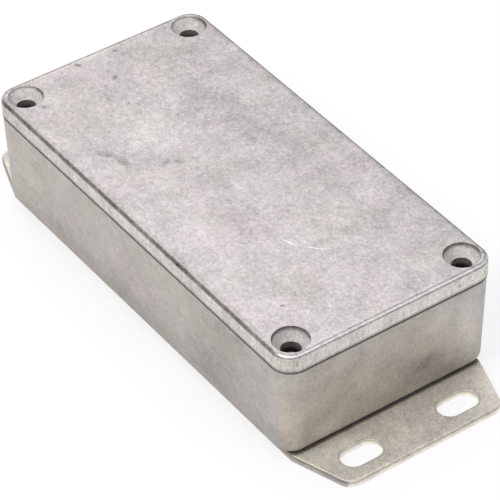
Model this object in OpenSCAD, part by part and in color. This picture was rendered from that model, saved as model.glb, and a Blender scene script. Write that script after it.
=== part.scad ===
// Die cast aluminium box with a screwed lid and a flange plate for fixing it to a panel.
// Three pieces: a drafted body with four screw posts, a countersunk lid with a locating
// lip, and a flat plate under the body whose two ends reach out and carry four slots.
// The origin is at the middle of the plate's underside, with the long side along X.

/* [Box] */
// Length of the box over the lid
box_len = 100; // [84:1:140]
// Width of the box over the lid
box_wid = 49.2; // [44:0.4:80]
// Height of the body from the flange plate up to the parting line
body_h = 21.5; // [17:0.5:50]
// Radius of the lid's upright corners
corner_r = 4; // [3.5:0.25:5]
// Radius of the body's upright corners at the parting line
body_corner_r = 4.3; // [3.5:0.1:5]
// Draft of the body's sides, inside and out, in degrees
draft = 1.9; // [0.5:0.1:2.2]
// Radius along the body's bottom edge
foot_r = 2; // [1:0.25:2.25]
// Chamfer round the body's rim, which leaves a fine groove at the parting line
rim_chamfer = 0.3; // [0.1:0.05:0.4]

/* [Walls] */
// Thickness of the body's side walls
wall = 2; // [1.6:0.1:2.4]
// Thickness of the body's floor
floor_t = 2; // [1.5:0.25:3]
// Radius of the upright corners inside the body
inner_corner_r = 2; // [1.75:0.25:2.5]
// Radius between the floor and the walls
floor_r = 1; // [0.5:0.25:1]

/* [Lid] */
// Height of the lid's side, from the parting line to the top
lid_h = 4; // [3.5:0.25:6]
// Thickness of the lid's panel between the lip and the corner pads
panel_t = 2; // [1.5:0.25:2.5]
// Radius round the lid's top edge
lid_edge_r = 0.8; // [0.4:0.1:1.2]
// Depth to which the locating lip reaches into the body
lip_depth = 1.5; // [0.75:0.25:3]
// Thickness of the locating lip
lip_t = 1.2; // [0.8:0.1:1.6]
// Gap between the lip and the body's walls and posts
lip_gap = 0.25; // [0.15:0.05:0.4]

/* [Lid screws] */
// Distance from the box's sides to the centre of each screw hole
screw_inset = 4.7; // [4.5:0.1:5.2]
// Diameter of the countersink at the lid's top
sink_d = 7.4; // [6.8:0.1:7.8]
// Depth of the short straight wall above the countersink's cone
sink_rim = 0.5; // [0.2:0.1:0.8]
// Depth of the countersink's cone
sink_cone = 1.85; // [1.4:0.05:2.1]
// Diameter of the screw's clearance hole in the lid
clear_d = 4; // [3.5:0.1:4.4]
// Diameter of the tapping bore in the post
tap_d = 3; // [2.5:0.1:3.3]
// Depth of the tapping bore below the parting line
tap_depth = 12; // [8:0.5:14]
// Radius of the screw post at the parting line
post_r = 4; // [3.5:0.25:4.5]
// Radius of the fillets between a post and the walls
post_fillet = 1; // [0.5:0.25:1.5]

/* [Flange plate] */
// Thickness of the plate
plate_t = 1.5; // [1:0.1:3]
// Distance by which each end of the plate reaches past the box
flange_reach = 11.2; // [10:0.2:16]
// Distance from the box's long sides in to the plate's straight edges
plate_inset = 2.2; // [1.8:0.2:3.4]
// Distance from the box's long sides in to the corners of the plate's ends
end_inset = 6.5; // [4.5:0.5:8]
// Distance from the box's ends in to where the plate begins to narrow
narrow_inset = 1.4; // [1:0.2:3]
// Radius of the plate's corners
plate_corner_r = 3; // [1.5:0.25:4]
// Radius round the plate's top edge
plate_edge_r = 0.35; // [0.2:0.05:0.6]

/* [Slots] */
// Distance from the box's end out to the slots' centre line
slot_reach = 5.7; // [5.2:0.1:6.2]
// Distance from the box's long sides in to the centre of each slot
slot_inset = 13.15; // [12.75:0.2:14.55]
// Length of each slot, end to end
slot_len = 9; // [7:0.25:10]
// Width of each slot
slot_wid = 5.2; // [4:0.1:5.6]
// Radius round each slot's top edge
slot_rim_r = 0.15; // [0.1:0.05:0.4]

/* [Hidden] */
$fn = 96;
eps = 0.01;

parting_z = plate_t + body_h;
top_z = parting_z + lid_h;
cavity_h = body_h - floor_t;
screw_x = box_len / 2 - screw_inset;
screw_y = box_wid / 2 - screw_inset;
slot_x = box_len / 2 + slot_reach;
slot_y = box_wid / 2 - slot_inset;
// How much wider a post is at the floor than at the rim
post_flare = cavity_h * tan(draft);
// How far a post's fillets are let into the post and the walls
web_bite = 0.05;
// Inner side of the locating lip, in from the box's sides
lip_in = wall + lip_gap + lip_t;
// Corner pads of the lid, which bear on the posts
pad_r = post_r + lip_gap;
alloy = [0.79, 0.77, 0.75];
sheet = [0.75, 0.73, 0.71];

// ---- Outline of the flange plate, its corners going round to the left ----

function plate_outline() =
    let (reach = box_len / 2 + flange_reach, straight = box_len / 2 - narrow_inset,
         side = box_wid / 2 - plate_inset, end = box_wid / 2 - end_inset)
    [[straight, -side], [reach, -end], [reach, end], [straight, side],
     [-straight, side], [-reach, end], [-reach, -end], [-straight, -side]];

function unit(v) = v / norm(v);
function left_of(v) = [-v.y, v.x];

// Centre of a corner's rounding: the point at distance r inside both of its edges
function corner_centre(pts, i, r) =
    let (n = len(pts), before = pts[(i + n - 1) % n], after = pts[(i + 1) % n],
         a = left_of(unit(pts[i] - before)), b = left_of(unit(after - pts[i])))
    pts[i] + (a + b) * r / (1 + a * b);

// ---- Solids with a shaped side ----

// A box whose four sides and upright corners all follow the section given as child.
// The section runs from 0 at the corners' axes out to r, and from 0 up to height h.
module sided_box(len, wid, r, h) {
    x = len / 2 - r;
    y = wid / 2 - r;
    translate([-x, -y, 0]) cube([2 * x, 2 * y, h]);
    for (turn = [0, 180]) rotate([0, 0, turn]) {
        translate([x, y, 0]) rotate([90, 0, 0]) linear_extrude(2 * y) children();
        translate([-x, y, 0]) rotate([90, 0, 90]) linear_extrude(2 * x) children();
        translate([x, y, 0]) rotate_extrude(angle = 90) children();
        translate([-x, y, 0]) rotate([0, 0, 90]) rotate_extrude(angle = 90) children();
    }
}

// Section of a side that leans out upwards, with a rounded foot and a chamfered rim
module drafted_section(r, h, foot, chamfer = 0) {
    centre_x = r - (h - foot) * tan(draft) - foot / cos(draft);
    intersection() {
        square([2 * r, h]);
        union() {
            polygon([[0, 0], [centre_x, 0],
                     [centre_x + foot * cos(draft), foot * (1 - sin(draft))],
                     [r - chamfer * tan(draft), h - chamfer], [r - chamfer, h], [0, h]]);
            translate([centre_x, foot]) circle(foot);
        }
    }
}

// Section of an upright side with a rounded top edge
module topped_section(r, h, edge) {
    square([r, h - edge]);
    square([r - edge, h]);
    intersection() {
        translate([r - edge, h - edge]) circle(edge);
        square([r, h]);
    }
}

// A flat rounded rectangle
module rounded(len, wid, r) {
    square([len - 2 * r, wid], center = true);
    square([len, wid - 2 * r], center = true);
    for (x = [-1, 1], y = [-1, 1])
        translate([x * (len / 2 - r), y * (wid / 2 - r)]) circle(r);
}

// Puts its child at the four screws, mirrored so that +X and +Y face the box's corner
module at_screws() {
    for (x = [0, 1], y = [0, 1])
        mirror([x, 0, 0]) mirror([0, y, 0]) translate([screw_x, screw_y, 0]) children();
}

// ---- Body ----

// Flat fillet between a post and a wall that runs along X, at the given distance.
// It is let a little way into both, so that it meets them at a clear edge.
module post_web(distance) {
    y = distance + web_bite - post_fillet;
    x = sqrt(pow(post_r - web_bite + post_fillet, 2) - y * y);
    difference() {
        polygon([[0, 0], [-x, y], [-x, distance + 0.5], [0, distance + 0.5]]);
        translate([-x, y]) circle(post_fillet);
    }
}

// Screw post, wider towards the floor, with its fillets to the two walls
module post() {
    cylinder(h = cavity_h, r1 = post_r + post_flare, r2 = post_r);
    linear_extrude(cavity_h) {
        post_web(screw_inset - wall);
        mirror([1, -1, 0]) post_web(screw_inset - wall);
    }
}

module tapping_bore() {
    translate([0, 0, -tap_depth]) cylinder(h = tap_depth + eps, d = tap_d);
    translate([0, 0, -tap_depth]) mirror([0, 0, 1])
        cylinder(h = tap_d / 2 * tan(31), r1 = tap_d / 2, r2 = 0);
}

module body() {
    color(alloy) translate([0, 0, plate_t]) difference() {
        sided_box(box_len, box_wid, body_corner_r, body_h)
            drafted_section(body_corner_r, body_h, foot_r, rim_chamfer);
        translate([0, 0, floor_t]) difference() {
            sided_box(box_len - 2 * wall, box_wid - 2 * wall, inner_corner_r, cavity_h + eps)
                drafted_section(inner_corner_r, cavity_h + eps, floor_r);
            at_screws() post();
        }
        translate([0, 0, body_h]) at_screws() tapping_bore();
    }
}

// ---- Lid ----

module countersink() {
    translate([0, 0, -sink_rim]) cylinder(h = sink_rim + eps, d = sink_d);
    translate([0, 0, -sink_rim - sink_cone])
        cylinder(h = sink_cone, d1 = clear_d, d2 = sink_d);
    translate([0, 0, -lid_h - eps]) cylinder(h = lid_h, d = clear_d);
}

// Everything round a screw that the lip and the pocket keep clear of
module screw_zone(r) {
    circle(r);
    translate([-r, 0]) square([r + screw_inset, screw_inset]);
    translate([0, -r]) square([screw_inset, r + screw_inset]);
}

module lid() {
    lip_len = box_len - 2 * (wall + lip_gap);
    lip_wid = box_wid - 2 * (wall + lip_gap);
    color(alloy) translate([0, 0, parting_z]) {
        difference() {
            sided_box(box_len, box_wid, corner_r, lid_h)
                topped_section(corner_r, lid_h, lid_edge_r);
            // pocket under the panel, clear of the corner pads
            translate([0, 0, -eps]) linear_extrude(lid_h - panel_t + eps) difference() {
                rounded(box_len - 2 * lip_in, box_wid - 2 * lip_in, 1);
                at_screws() screw_zone(pad_r);
            }
            translate([0, 0, lid_h]) at_screws() countersink();
        }
        // locating lip, broken at the posts
        translate([0, 0, -lip_depth]) linear_extrude(lip_depth + eps) difference() {
            rounded(lip_len, lip_wid, inner_corner_r);
            rounded(box_len - 2 * lip_in, box_wid - 2 * lip_in, 1);
            at_screws() screw_zone(pad_r);
        }
    }
}

// ---- Flange plate ----

// Rounding that opens a slot's top edge, along the slot's outline
module slot_flare_section() {
    translate([slot_wid / 2 - eps, plate_t - slot_rim_r]) difference() {
        square([slot_rim_r + eps, slot_rim_r + eps]);
        translate([slot_rim_r + eps, 0]) circle(slot_rim_r);
    }
}

module slot() {
    run = slot_len - slot_wid;
    translate([0, 0, -eps]) linear_extrude(plate_t + 2 * eps) {
        square([slot_wid, run], center = true);
        for (y = [-run / 2, run / 2]) translate([0, y]) circle(d = slot_wid);
    }
    for (side = [0, 180]) rotate([0, 0, side]) {
        translate([0, run / 2, 0]) rotate([90, 0, 0])
            linear_extrude(run) slot_flare_section();
        translate([0, run / 2, 0]) rotate_extrude(angle = 180) slot_flare_section();
    }
}

module flange_plate() {
    color(sheet) difference() {
        hull() for (i = [0:7])
            translate(corner_centre(plate_outline(), i, plate_corner_r))
                rotate_extrude($fn = 64)
                    topped_section(plate_corner_r, plate_t, plate_edge_r, $fn = 24);
        for (x = [-slot_x, slot_x], y = [-slot_y, slot_y]) translate([x, y, 0]) slot();
    }
}

body();
lid();
flange_plate();
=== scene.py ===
from math import cos, pi, radians, sin

import bpy
from mathutils import Matrix, Vector


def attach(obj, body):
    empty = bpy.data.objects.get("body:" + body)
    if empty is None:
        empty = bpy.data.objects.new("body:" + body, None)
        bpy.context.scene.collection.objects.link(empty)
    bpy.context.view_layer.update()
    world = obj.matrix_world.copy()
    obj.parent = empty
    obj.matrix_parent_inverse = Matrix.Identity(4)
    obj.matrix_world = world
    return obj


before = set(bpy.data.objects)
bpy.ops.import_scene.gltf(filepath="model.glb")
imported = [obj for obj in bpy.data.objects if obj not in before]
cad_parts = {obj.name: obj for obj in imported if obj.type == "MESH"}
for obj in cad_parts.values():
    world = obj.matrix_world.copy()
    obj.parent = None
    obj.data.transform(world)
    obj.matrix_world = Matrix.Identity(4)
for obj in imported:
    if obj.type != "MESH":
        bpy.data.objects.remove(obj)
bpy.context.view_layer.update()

# sizes of the box, in millimetres, as the construction drawing gives them
MM = 0.001
HALF_LEN = 50.0
HALF_WID = 24.6
CORNER_R = 4.0
TOP_Z = 27.0
PARTING_Z = 23.0
PLATE_Z = 1.5
SCREW_X = 45.3
SCREW_Y = 19.9
BORE_R = 1.5

# how strongly the cast skin of each piece is mottled
LID_MOTTLE = 1.3
BODY_MOTTLE = 0.9
PLATE_MOTTLE = 1.15
# height of the dark film and painted dark reflection on the lid's long edges, where it starts and
# where it is full
FILM_AND_REFLECTION_LOW = 26.05
FILM_AND_REFLECTION_FULL = 26.40
# how much that dark film and painted reflection darkens the long edges
FILM_AND_REFLECTION = 0.58
# painted shade: how much darker the walls of the screw holes are
HOLE_SHADE = 0.66
# how high the screw holes start in the lid, and the radius of a hole
HOLE_TOP = 24.7
HOLE_R = 2.0
SINK_R = 3.7
# depth of the grain in the metal
GRAIN_DEPTH = 0.03
# distance from the corners' axes to the dark crevice under the body, where the plate gets painted
# shade
CREVICE_OUT = 3.7
CREVICE_IN = 2.9
# the plate's slots: centre, run between the round ends and radius of those ends
SLOT_X = 55.7
SLOT_Y = 11.45
SLOT_RUN = 3.8
SLOT_R = 2.6


# ---------------------------------------------------------------- finishes

class Wire:
    """One socket of a finish. Sums are written on it as plain Python."""

    def __init__(self, tree, socket):
        self.tree, self.socket = tree, socket

    def node(self, kind, settings=None, values=None, out=0):
        """Adds a node of that type: its settings first, then its socket values or links."""
        new = self.tree.nodes.new(kind)
        for name, setting in (settings or {}).items():
            setattr(new, name, setting)
        for name, value in (values or {}).items():
            if isinstance(value, Wire):
                self.tree.links.new(value.socket, new.inputs[name])
            else:
                new.inputs[name].default_value = value
        return Wire(self.tree, new.outputs[out])

    def sum(self, operation, *terms):
        return self.node("ShaderNodeMath", {"operation": operation}, dict(enumerate(terms)))

    def __add__(self, other):
        return self.sum("ADD", self, other)

    __radd__ = __add__

    def __sub__(self, other):
        return self.sum("SUBTRACT", self, other)

    def __rsub__(self, other):
        return self.sum("SUBTRACT", other, self)

    def __mul__(self, other):
        return self.sum("MULTIPLY", self, other)

    __rmul__ = __mul__

    def __abs__(self):
        return self.sum("ABSOLUTE", self)

    def step(self, low, high):
        """0 below low and 1 above high, with a soft rise between (low may be the larger)."""
        return self.node("ShaderNodeMapRange", {"interpolation_type": "SMOOTHSTEP"},
                         {"Value": self, "From Min": low, "From Max": high,
                          "To Min": 0.0, "To Max": 1.0})

    def noise(self, size, detail=2.0, rough=0.5, out="Fac", shift=0.0, stretch=(1, 1, 1)):
        """Cloudy noise whose lumps are about that size in millimetres."""
        place = self.node("ShaderNodeMapping", {"vector_type": "POINT"},
                          {"Vector": self, "Location": (shift, shift * 0.7, -shift),
                           "Scale": tuple(1.0 / (size * s) for s in stretch)})
        return self.node("ShaderNodeTexNoise", {"noise_dimensions": "3D"},
                         {"Vector": place, "Scale": 1.0, "Detail": detail, "Roughness": rough}, out)

    def smudge(self, x, y, z, length, width, turn=0.0, depth=50.0, soft=0.6):
        """1 at the middle of an oval mark and 0 outside it, in millimetres."""
        local = self.node("ShaderNodeMapping", {"vector_type": "TEXTURE"},
                          {"Vector": self, "Location": (x, y, z), "Rotation": (0, 0, radians(turn)),
                           "Scale": (length / 2, width / 2, depth / 2)})
        away = self.node("ShaderNodeVectorMath", {"operation": "LENGTH"}, {0: local}, "Value")
        return away.step(1.0, 1.0 - soft)

    def tint(self, amount, colour):
        """This colour mixed towards another."""
        return self.node("ShaderNodeMix", {"data_type": "RGBA", "clamp_factor": True},
                         {0: amount, 6: self, 7: (*colour, 1.0)}, 2)

    def shade(self, amount):
        """This colour, brighter or darker."""
        return self.node("ShaderNodeVectorMath", {"operation": "SCALE"}, {0: self, "Scale": amount})

    def vector(self, operation, *terms, out=0):
        return self.node("ShaderNodeVectorMath", {"operation": operation},
                         {0: self, **dict(enumerate(terms, 1))}, out)

    def part(self, axis):
        """One of the three numbers of a place."""
        return self.node("ShaderNodeSeparateXYZ", None, {0: self}, axis)

    def turned(self, order):
        """This place with its numbers in another order, such as XZY to lay a side wall flat."""
        return self.node("ShaderNodeCombineXYZ", None,
                         {k: self.part(axis) for k, axis in enumerate(order)})

    def beyond(self, core):
        """How far this place lies outside a block of that half size about the origin."""
        over = self.vector("ABSOLUTE").vector("SUBTRACT", core).vector("MAXIMUM", (0, 0, 0))
        return over.vector("LENGTH", out="Value")

    def from_screw(self):
        """Distance from the axis of the nearest lid screw."""
        away = self.vector("ABSOLUTE").vector("SUBTRACT", (SCREW_X, SCREW_Y, 0.0))
        return away.vector("MULTIPLY", (1, 1, 0)).vector("LENGTH", out="Value")

    def wander(self, size, amount, shift=0.0):
        """This place pushed about a little, which gives marks their uneven edges."""
        push = self.noise(size, 2.0, 0.6, "Color", shift)
        push = push.vector("MULTIPLY_ADD", (amount,) * 3, (-amount / 2,) * 3)
        return self.vector("ADD", push)

    def marks(self, rows, height, depth=6.0, soft=0.8):
        """Oval marks on a face at that height: x, y, length, width, turn and strength."""
        total = 0.0
        for x, y, length, width, turn, strength in rows:
            total = self.smudge(x, y, height, length, width, turn, depth, soft) * strength + total
        return total


def new_finish(name, metallic, roughness):
    """A metal finish and the place on the part in millimetres that its pattern reads."""
    finish = bpy.data.materials.new(name)
    finish.use_nodes = True
    tree = finish.node_tree
    shader = tree.nodes["Principled BSDF"]
    shader.inputs["Metallic"].default_value = metallic
    shader.inputs["Roughness"].default_value = roughness
    start = Wire(tree, None)
    there = start.node("ShaderNodeTexCoord", out="Object")
    place = there.node("ShaderNodeVectorMath", {"operation": "SCALE"}, {0: there, "Scale": 1000.0})
    return finish, shader, place


def wear(shader, colour, roughness, bump=None, height=GRAIN_DEPTH):
    """Joins the finished pattern to the metal."""
    for name, wire in (("Base Color", colour), ("Roughness", roughness)):
        wire.tree.links.new(wire.socket, shader.inputs[name])
    if bump is not None:
        normal = bump.node("ShaderNodeBump", None,
                           {"Height": bump, "Strength": 1.0, "Distance": height * MM}, "Normal")
        normal.tree.links.new(normal.socket, shader.inputs["Normal"])


def cast_skin(place, tone, mottle, tinge, shift=0.0):
    """The mottled grey of raw die cast aluminium: its colour, how bright it is, and its grain."""
    lumps = place.noise(7.0, 5.0, 1.0, shift=shift + 3.1)
    grain = place.noise(0.42, 1.0, 0.8, shift=shift + 7.7)
    fleck = place.noise(1.1, 1.0, 0.8, shift=shift + 17.7)
    blotch = place.noise(19.0, 2.0, 0.6, shift=shift)
    hue = place.noise(4.2, 3.0, 0.7, shift=shift + 11.3)
    broad = place.noise(15.0, 3.0, 0.6, shift=shift + 23.0)
    warmth = place.noise(11.0, 3.0, 0.6, shift=shift + 31.0)
    level = (1.0 + (lumps - 0.5) * mottle + (grain - 0.5) * (mottle * 0.45)
             + (fleck - 0.5) * (mottle * 0.3) + (blotch - 0.5) * 0.24)
    pink = (tone[0] * (1 + tinge), tone[1] * (1 - tinge * 0.6), tone[2], 1)
    green = (tone[0] * (1 - tinge), tone[1] * (1 + tinge * 0.6), tone[2], 1)
    base = place.node("ShaderNodeMix", {"data_type": "RGBA"},
                      {0: (hue * 0.4 + broad * 0.6).step(0.40, 0.60), 6: pink, 7: green}, 2)
    ochre = tuple(a * b for a, b in zip(tone, (1.0 + tinge * 0.5, 1.0, 1.0 - tinge * 1.5)))
    base = base.tint(warmth.step(0.46, 0.66), ochre)
    return base, level, grain, fleck


# dark marks on the lid's face: x, y, length, width, turn in degrees and strength
LID_MARKS = (
    (-47.9, -5.7, 2.6, 1.8, 50, 0.36), (-47.3, 3.0, 2.0, 1.5, 20, 0.30),
    (-40.0, -1.9, 2.4, 1.6, -30, 0.22), (-40.2, -18.8, 1.9, 1.3, 10, 0.24),
    (-31.0, -4.2, 1.4, 1.0, 0, 0.25), (37.0, -15.7, 1.1, 0.9, 0, 0.35),
    (-20.2, -17.1, 5.6, 2.8, 35, 0.17), (-16.1, -15.8, 6.4, 3.0, 5, 0.18),
    (-10.9, -9.0, 3.8, 2.2, 88, 0.14), (-9.8, -6.6, 4.2, 2.2, 45, 0.15),
    (1.6, -3.9, 5.0, 3.0, 20, 0.08))
# broad darker patches, and paler ones towards the long front edge
LID_PATCHES = (
    (-24.0, 10.0, 17.0, 9.0, 25, 0.15), (-12.0, 9.0, 22.0, 15.0, 10, 0.13),
    (-2.0, 15.0, 20.0, 12.0, 0, 0.09), (9.0, 20.5, 16.0, 9.0, 0, 0.14),
    (-36.0, 14.0, 22.0, 14.0, -20, 0.09), (37.0, -10.0, 16.0, 15.0, 30, 0.08),
    (-43.0, -8.0, 12.0, 26.0, 0, 0.07), (-20.6, 3.2, 9.0, 5.0, 20, 0.05),
    (-22.0, -9.0, 26.0, 14.0, 8, -0.09), (14.0, -17.0, 36.0, 16.0, -4, -0.13),
    (16.0, 4.0, 24.0, 14.0, 15, -0.06))
# fine pale scratches
LID_SCRATCHES = (
    (13.2, -5.1, 3.2, 0.30, 31, 0.30), (16.3, -4.1, 4.2, 0.28, 6, 0.25),
    (22.9, -4.1, 5.4, 0.32, 24, 0.45), (27.4, -0.9, 6.6, 0.32, 43, 0.40),
    (3.0, -7.0, 2.4, 0.26, 50, 0.15), (-5.0, -15.0, 2.2, 0.26, 80, 0.14),
    (24.0, 8.0, 2.4, 0.26, 10, 0.14), (-33.0, 5.0, 2.4, 0.26, 35, 0.14))


def lid_finish():
    finish, shader, place = new_finish("lid cast aluminium", 0.8, 0.5)
    base, level, grain, fleck = cast_skin(place, (0.615, 0.580, 0.580), LID_MOTTLE, 0.019)
    height = place.part("Z")
    uneven = place.wander(2.6, 1.6)
    on_top = height.step(TOP_Z - 0.1, TOP_Z - 0.02)
    dark = uneven.marks(LID_MARKS, TOP_Z) * (0.9 + fleck * 1.4)
    dark = dark + place.wander(7.0, 5.0).marks(LID_PATCHES, TOP_Z, soft=1.0)
    dark = dark + place.part("Y").step(-2.0, 14.0) * 0.05
    pale = place.wander(3.0, 0.7).marks(LID_SCRATCHES, TOP_Z) * 1.6
    level = level - on_top * (dark - pale)

    # the rim: on the long sides' edge a dark film, the fillet's darker cast skin with a painted dark
    # reflection over it, and the top a little darker along those edges; on the short sides' edge two
    # thin dark lines, grime at the trim step with painted dark reflection, plus a painted highlight on
    # the fillet and a worn, painted highlight on the top beside it
    inward = CORNER_R - place.beyond((HALF_LEN - CORNER_R, HALF_WID - CORNER_R, 1000.0))
    on_end = abs(place.part("X")).step(HALF_LEN - CORNER_R, HALF_LEN - 1.5)
    patchy = place.noise(3.5, 3.0, 0.7, shift=4.0).step(0.3, 0.62)
    film_and_reflection = height.step(FILM_AND_REFLECTION_LOW, FILM_AND_REFLECTION_FULL) * height.step(TOP_Z + 0.02, TOP_Z - 0.14)
    film_and_reflection = film_and_reflection * (1.0 - on_end) * (0.8 + patchy * 0.2)
    lines = height.step(26.42, 26.52) * height.step(26.70, 26.62) * 0.36
    lines = lines + inward.step(0.50, 0.58) * inward.step(0.98, 0.86) * 0.34
    highlight_bead = height.step(26.66, 26.74) * height.step(26.95, 26.88) * (0.22 + fleck * 0.40)
    worn_highlight = inward.step(0.88, 1.05) * inward.step(1.6, 1.3) * 0.10
    edge = inward.step(1.7, 0.8) * on_top * (1.0 - on_end) * 0.13
    rim = film_and_reflection * FILM_AND_REFLECTION + edge + lines * on_end * (0.6 + patchy * 0.4)

    # the band round the side: fine upright marks of the trimming tool; painted shade makes it darker
    # and greener at the corners, and painted light makes it brighter on the short ends
    on_band = height.step(26.35, 26.15)
    strokes = place.noise(0.38, 2.0, 0.7, shift=9.0, stretch=(1, 1, 14))
    corner = place.vector("ABSOLUTE")
    corner = corner.part("X").step(46.9, 47.3) * corner.part("Y").step(21.4, 21.8) * on_band
    # painted shade, with some grime, darkens the foot of the band over the parting groove
    groove_shade = height.step(PARTING_Z + 0.80, PARTING_Z + 0.10)
    level = level + on_band * ((strokes - 0.5) * 0.55 - 0.05 + on_end * 0.15) - corner * 0.15
    level = (level - rim + (worn_highlight + highlight_bead) * on_end) * (1.0 - groove_shade * 0.62)

    # the countersinks and the holes under them
    radius = place.from_screw()
    in_sink = radius.step(SINK_R + 0.04, SINK_R - 0.02) * height.step(TOP_Z - 0.03, TOP_Z - 0.12)
    rings = (radius * 21.0).sum("SINE", radius * 21.0)
    in_hole = radius.step(HOLE_R + 0.06, HOLE_R) * height.step(HOLE_TOP + 0.1, HOLE_TOP - 0.1)
    # painted shade darkens the walls of the holes, which are also tinted brown
    level = level * (1.0 - in_sink * (0.08 - rings * 0.04)) * (1.0 - in_hole * HOLE_SHADE)
    base = base.tint(in_hole * 0.8, (0.40, 0.33, 0.28)).tint(film_and_reflection * 0.55, (0.36, 0.33, 0.25))
    base = base.tint(on_band * 0.6, (0.64, 0.612, 0.575)).tint(corner * 0.5, (0.58, 0.57, 0.50))
    base = base.tint(in_sink * (1.0 - in_hole) * 0.6, (0.62, 0.585, 0.575))
    metal = 0.8 - in_sink * 0.62
    metal.tree.links.new(metal.socket, shader.inputs["Metallic"])
    rough = 0.40 + fleck * 0.16 + in_sink * 0.14
    wear(shader, base.shade(level), rough, grain, GRAIN_DEPTH)
    return finish


# darker and lighter patches on the long front side: x, height, length, width, turn and strength
LONG_PATCHES = (
    (28.0, 12.0, 30.0, 24.0, 0, 0.20), (32.0, 20.5, 26.0, 8.0, 0, 0.16),
    (-20.0, 5.5, 40.0, 6.0, 0, 0.07), (18.0, 5.5, 24.0, 6.0, 0, 0.08),
    (46.0, 12.0, 8.0, 26.0, 0, -0.08), (-42.0, 14.0, 22.0, 16.0, 0, -0.06),
    (-8.0, 15.0, 14.0, 12.0, 0, -0.05))
# stains on the short side in view, which also carry painted shade and light for that side: y, height,
# length, width, turn and strength
SHORT_STAINS_AND_SHADE = (
    (8.0, 8.5, 16.0, 10.0, 15, 0.40), (12.0, 4.5, 15.0, 7.0, 0, 0.32), (2.0, 5.0, 16.0, 7.0, 0, 0.16),
    (1.0, 12.0, 12.0, 9.0, 0, 0.08),
    (-15.0, 18.0, 3.0, 12.0, 0, 0.07), (-9.0, 13.0, 3.0, 14.0, 20, 0.06),
    (19.0, 14.0, 9.0, 20.0, 0, -0.26), (13.0, 19.0, 16.0, 7.0, 0, -0.18),
    (-15.0, 5.0, 14.0, 8.0, 0, -0.24))


def body_finish():
    finish, shader, place = new_finish("body cast aluminium", 0.8, 0.5)
    base, level, grain, fleck = cast_skin(place, (0.468, 0.440, 0.418), BODY_MOTTLE, 0.018, 21.0)
    height = place.part("Z")
    uneven = place.wander(5.0, 4.0, 13.0)
    on_front = place.part("Y").step(-HALF_WID + 4.0, -HALF_WID + 1.5)
    on_right = place.part("X").step(HALF_LEN - 4.0, HALF_LEN - 1.8)
    front = uneven.turned("XZY").marks(LONG_PATCHES, -HALF_WID, 9.0, 1.0)
    right_stains_and_shade = uneven.turned("YZX").marks(SHORT_STAINS_AND_SHADE, HALF_LEN, 9.0, 1.0)
    level = level - on_front * front - on_right * right_stains_and_shade * (0.8 + fleck * 0.4)
    # painted shade: the long side darker towards the bottom, most near the plate
    low = height.step(9.0, 4.2) * 0.08 + height.step(3.4, 1.9) * 0.32
    shade_line = height.step(15.0, 7.0) * place.part("Y").step(-20.25, -19.65)
    shade_line = shade_line * place.part("Y").step(-8.0, -19.0) * on_right
    level = level - low * on_front - shade_line * 0.10

    # painted shade, with some grime, in the groove under the lid and in the crevice over the plate
    groove_shade = height.step(PARTING_Z - 0.48, PARTING_Z - 0.22)
    crevice_shade = height.step(2.25, 1.70) * on_right
    level = level * (1.0 - groove_shade * 0.80) * (1.0 - crevice_shade * 0.86)
    radius = place.from_screw()
    in_hole = radius.step(2.4, 2.1) * height.step(PARTING_Z - 13.0, PARTING_Z - 12.8)
    # painted shade darkens the walls of the screw bores, which are also tinted brown
    level = level * (1.0 - in_hole * HOLE_SHADE)
    base = base.tint(in_hole * 0.8, (0.40, 0.33, 0.28))
    brown = on_right * place.part("Y").step(18.0, 8.0) * height.step(PARTING_Z, 14.0)
    base = base.tint(brown * 0.8, (0.497, 0.440, 0.385))
    wear(shader, base.shade(level), 0.42 + fleck * 0.16, grain, GRAIN_DEPTH)
    return finish


# stains on the plate's two ends, mirrored: x, y, length, width, turn and strength
PLATE_STAINS = (
    (54.0, 3.0, 6.0, 11.0, 0, 0.07), (58.8, -9.0, 5.0, 16.0, 0, 0.09),
    (52.5, -13.0, 6.0, 9.0, 0, -0.08),
    (59.0, 3.0, 5.0, 9.0, 0, 0.06), (56.0, 18.0, 7.0, 5.0, 0, -0.08), (51.5, 14.0, 4.0, 8.0, 0, -0.06))


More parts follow.
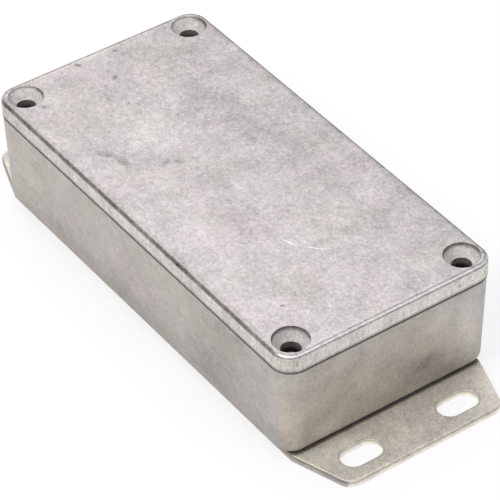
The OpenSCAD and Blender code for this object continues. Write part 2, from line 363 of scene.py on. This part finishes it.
def plate_finish():
    finish, shader, place = new_finish("flange plate aluminium", 0.6, 0.5)
    base, level, grain, fleck = cast_skin(place, (0.735, 0.690, 0.620), PLATE_MOTTLE, 0.006, 47.0)
    height = place.part("Z")
    level = level - place.wander(3.0, 2.4).marks(PLATE_STAINS, PLATE_Z, 3.0, 1.0)
    on_top = height.step(PLATE_Z - 0.2, PLATE_Z - 0.05)
    # painted shade, with some grime, on the plate in the crevice round the body's foot
    foot = place.beyond((HALF_LEN - CORNER_R, HALF_WID - CORNER_R, 1000.0))
    crevice_shade = foot.step(CREVICE_OUT, CREVICE_IN) * on_top
    level = level * (1.0 - crevice_shade * 0.60)

    # the cut edges, painted reflection: a dark line under the rounded top edge, then paler down to the
    # underside; painted shade on the near edge, and at the slots a darker rim and paler walls
    x, y = abs(place.part("X")), place.part("Y")
    slot = place.vector("ABSOLUTE").vector("SUBTRACT", (SLOT_X, SLOT_Y, 0.0))
    slot = slot.beyond((0.0, SLOT_RUN / 2, 1000.0))
    in_slot = slot.step(SLOT_R + 0.32, SLOT_R + 0.22)
    cut = height.step(1.36, 1.22)
    line = height.step(1.34, 1.24) * height.step(0.75, 1.05)
    rounded = height.step(1.12, 1.22) * height.step(PLATE_Z - 0.01, PLATE_Z - 0.06)
    near = y.step(-17.6, -18.4) * height.step(PLATE_Z - 0.01, PLATE_Z - 0.08)
    level = level + cut * height.step(0.9, 0.1) * 0.32 - line * 0.36 + rounded * 0.04
    level = level * (1.0 - near * 0.48)
    rim = slot.step(SLOT_R + 0.50, SLOT_R + 0.20) * on_top
    level = level - rim * 0.22 + in_slot * cut * 0.10
    outer = x.step(HALF_LEN + 7.6, HALF_LEN + 9.6) * on_top
    level = level - outer * 0.07
    wear(shader, base.shade(level), 0.40 + fleck * 0.18, grain, GRAIN_DEPTH)
    return finish


def dress(node, finish):
    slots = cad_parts[node].data.materials
    if len(slots):
        for k in range(len(slots)):
            slots[k] = finish
    else:
        slots.append(finish)


dress("lid", lid_finish())
dress("body", body_finish())
dress("flange_plate", plate_finish())


# ---------------------------------------------------------------- tapped threads

THREAD_PITCH = 0.5
THREAD_TURNS = 22
THREAD_TOP = 22.7
THREAD_RIDGE = 0.2            # corner to middle of the ridge's three-sided section
THREAD_MIDDLE = BORE_R + 0.06
THREAD_STEPS = 36
CORNERS = {"left_front": (-1, -1), "left_back": (-1, 1), "right_back": (1, 1), "right_front": (1, -1)}


def thread_finish():
    finish, shader, place = new_finish("tapped thread", 0.8, 0.45)
    grime = place.noise(0.6, 3.0, 0.6, shift=5.0)
    colour = place.node("ShaderNodeMix", {"data_type": "RGBA"},
                        {0: grime.step(0.3, 0.7), 6: (0.34, 0.30, 0.27, 1),
                         7: (0.58, 0.53, 0.50, 1)}, 2)
    wear(shader, colour, 0.35 + grime * 0.25)
    return finish


def cut_thread():
    """One screw post's thread: a three-sided ridge wound down the bore, closed at both ends."""
    bpy.ops.object.select_all(action="DESELECT")
    low = THREAD_TOP - THREAD_PITCH * THREAD_TURNS
    bpy.ops.mesh.primitive_circle_add(vertices=3, radius=THREAD_RIDGE * MM, location=(0, 0, 0))
    ridge = bpy.context.object
    bpy.ops.object.mode_set(mode="EDIT")
    bpy.ops.mesh.select_all(action="SELECT")
    bpy.ops.transform.rotate(value=radians(90), orient_axis="X", center_override=(0, 0, 0))
    bpy.ops.transform.rotate(value=radians(-90), orient_axis="Y", center_override=(0, 0, 0))
    bpy.ops.transform.translate(value=(THREAD_MIDDLE * MM, 0, low * MM))
    bpy.ops.object.mode_set(mode="OBJECT")
    turn = ridge.modifiers.new("thread", "SCREW")
    turn.axis = "Z"
    turn.angle = 2 * pi
    turn.screw_offset = THREAD_PITCH * MM
    turn.iterations = THREAD_TURNS
    turn.steps = turn.render_steps = THREAD_STEPS
    bpy.ops.object.modifier_apply(modifier="thread")
    bpy.ops.object.mode_set(mode="EDIT")
    bpy.ops.mesh.select_mode(type="EDGE")
    bpy.ops.mesh.select_all(action="DESELECT")
    bpy.ops.mesh.select_non_manifold(extend=False, use_wire=False, use_multi_face=False,
                                     use_non_contiguous=False, use_verts=False)
    bpy.ops.mesh.fill_holes(sides=3)
    bpy.ops.mesh.select_all(action="SELECT")
    bpy.ops.mesh.normals_make_consistent(inside=False)
    bpy.ops.object.mode_set(mode="OBJECT")
    bpy.ops.object.shade_smooth_by_angle(angle=radians(35))
    return ridge


def place_threads():
    first = cut_thread()
    finish = thread_finish()
    for corner, (sx, sy) in CORNERS.items():
        piece = first.copy()
        piece.data = first.data.copy()
        piece.name = piece.data.name = "thread_" + corner
        bpy.context.scene.collection.objects.link(piece)
        piece.data.transform(Matrix.Translation((sx * SCREW_X * MM, sy * SCREW_Y * MM, 0)))
        piece.data.materials.append(finish)
        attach(piece, "root")
    bpy.data.objects.remove(first)


place_threads()


# ---------------------------------------------------------------- studio

WALL_FOOT = (0.09, 0.13)      # sine of the height at which the wall starts
WALL_TOP = (0.62, 0.42)       # and at which the ceiling takes over
WALL = 0.12
CEILING = 1.0
FLOOR_LIFT = 0.72             # how far the floor in view is lifted to white
FLOOR_GLINT = 0.10            # and the floor that shows in the metal


def floor_paint():
    """White paint. What the camera sees of it is lifted towards white, the shadow fainter."""
    paint = bpy.data.materials.new("floor paint")
    paint.use_nodes = True
    tree = paint.node_tree
    shader = tree.nodes["Principled BSDF"]
    shader.inputs["Base Color"].default_value = (0.93, 0.93, 0.93, 1)
    shader.inputs["Roughness"].default_value = 0.9
    shader.inputs["Specular IOR Level"].default_value = 0.0
    rays = Wire(tree, None)
    seen = [rays.node("ShaderNodeLightPath", out=kind)
            for kind in ("Is Camera Ray", "Is Glossy Ray", "Is Transmission Ray")]
    lift = (seen[0] + seen[2]) * FLOOR_LIFT + seen[1] * FLOOR_GLINT
    white = rays.node("ShaderNodeEmission", None, {"Color": (1, 1, 1, 1), "Strength": 1.0})
    mixed = tree.nodes.new("ShaderNodeMixShader")
    tree.links.new(lift.socket, mixed.inputs[0])
    tree.links.new(shader.outputs[0], mixed.inputs[1])
    tree.links.new(white.socket, mixed.inputs[2])
    tree.links.new(mixed.outputs[0], tree.nodes["Material Output"].inputs["Surface"])
    return paint


def world_light():
    """A plain room: white at the floor's far edge, a darker wall above it and a bright ceiling."""
    world = bpy.data.worlds.new("studio")
    bpy.context.scene.world = world
    world.use_nodes = True
    tree = world.node_tree
    tree.nodes.clear()
    room = Wire(tree, None)
    look = room.node("ShaderNodeTexCoord", out="Generated")
    height = look.node("ShaderNodeSeparateXYZ", None, {0: look}, "Z")
    wall = height.step(*WALL_FOOT) * height.step(*WALL_TOP)
    level = CEILING - (CEILING - WALL) * wall
    light = room.node("ShaderNodeBackground", None, {"Color": (1, 1, 1, 1), "Strength": level})
    out = tree.nodes.new("ShaderNodeOutputWorld")
    tree.links.new(light.socket, out.inputs["Surface"])


def soft_lamp(name, azimuth, elevation, away, size, power):
    lamp = bpy.data.lights.new(name, "AREA")
    lamp.shape = "DISK"
    lamp.size = size
    lamp.energy = power
    holder = bpy.data.objects.new(name, lamp)
    a, e = radians(azimuth), radians(elevation)
    aim = Vector((cos(e) * cos(a), cos(e) * sin(a), sin(e)))
    holder.location = aim * away
    holder.rotation_euler = aim.to_track_quat("Z", "Y").to_euler()
    bpy.context.scene.collection.objects.link(holder)
    return holder


bpy.ops.object.select_all(action="DESELECT")
bpy.ops.mesh.primitive_plane_add(size=6.0, location=(0, 0, -0.00005))
floor = bpy.context.object
floor.name = "floor"
floor.data.materials.append(floor_paint())

world_light()
soft_lamp("key lamp", -85, 55, 0.9, 0.35, 3.0)
soft_lamp("back lamp", 160, 60, 0.9, 0.6, 1.0)

camera = bpy.data.objects.new("camera", bpy.data.cameras.new("camera"))
camera.data.sensor_width = 36.0
camera.data.lens = 223.818
camera.data.clip_start = 0.01
camera.data.clip_end = 20.0
camera.matrix_world = Matrix((
    (0.579644, -0.519703, 0.627632, 0.388714473),
    (0.814692, 0.385709, -0.433019, -0.265438730),
    (-0.017042, 0.762324, 0.646972, 0.406717893),
    (0.0, 0.0, 0.0, 1.0)))
bpy.context.scene.collection.objects.link(camera)
bpy.context.scene.camera = camera
bpy.context.scene.view_settings.view_transform = "Standard"
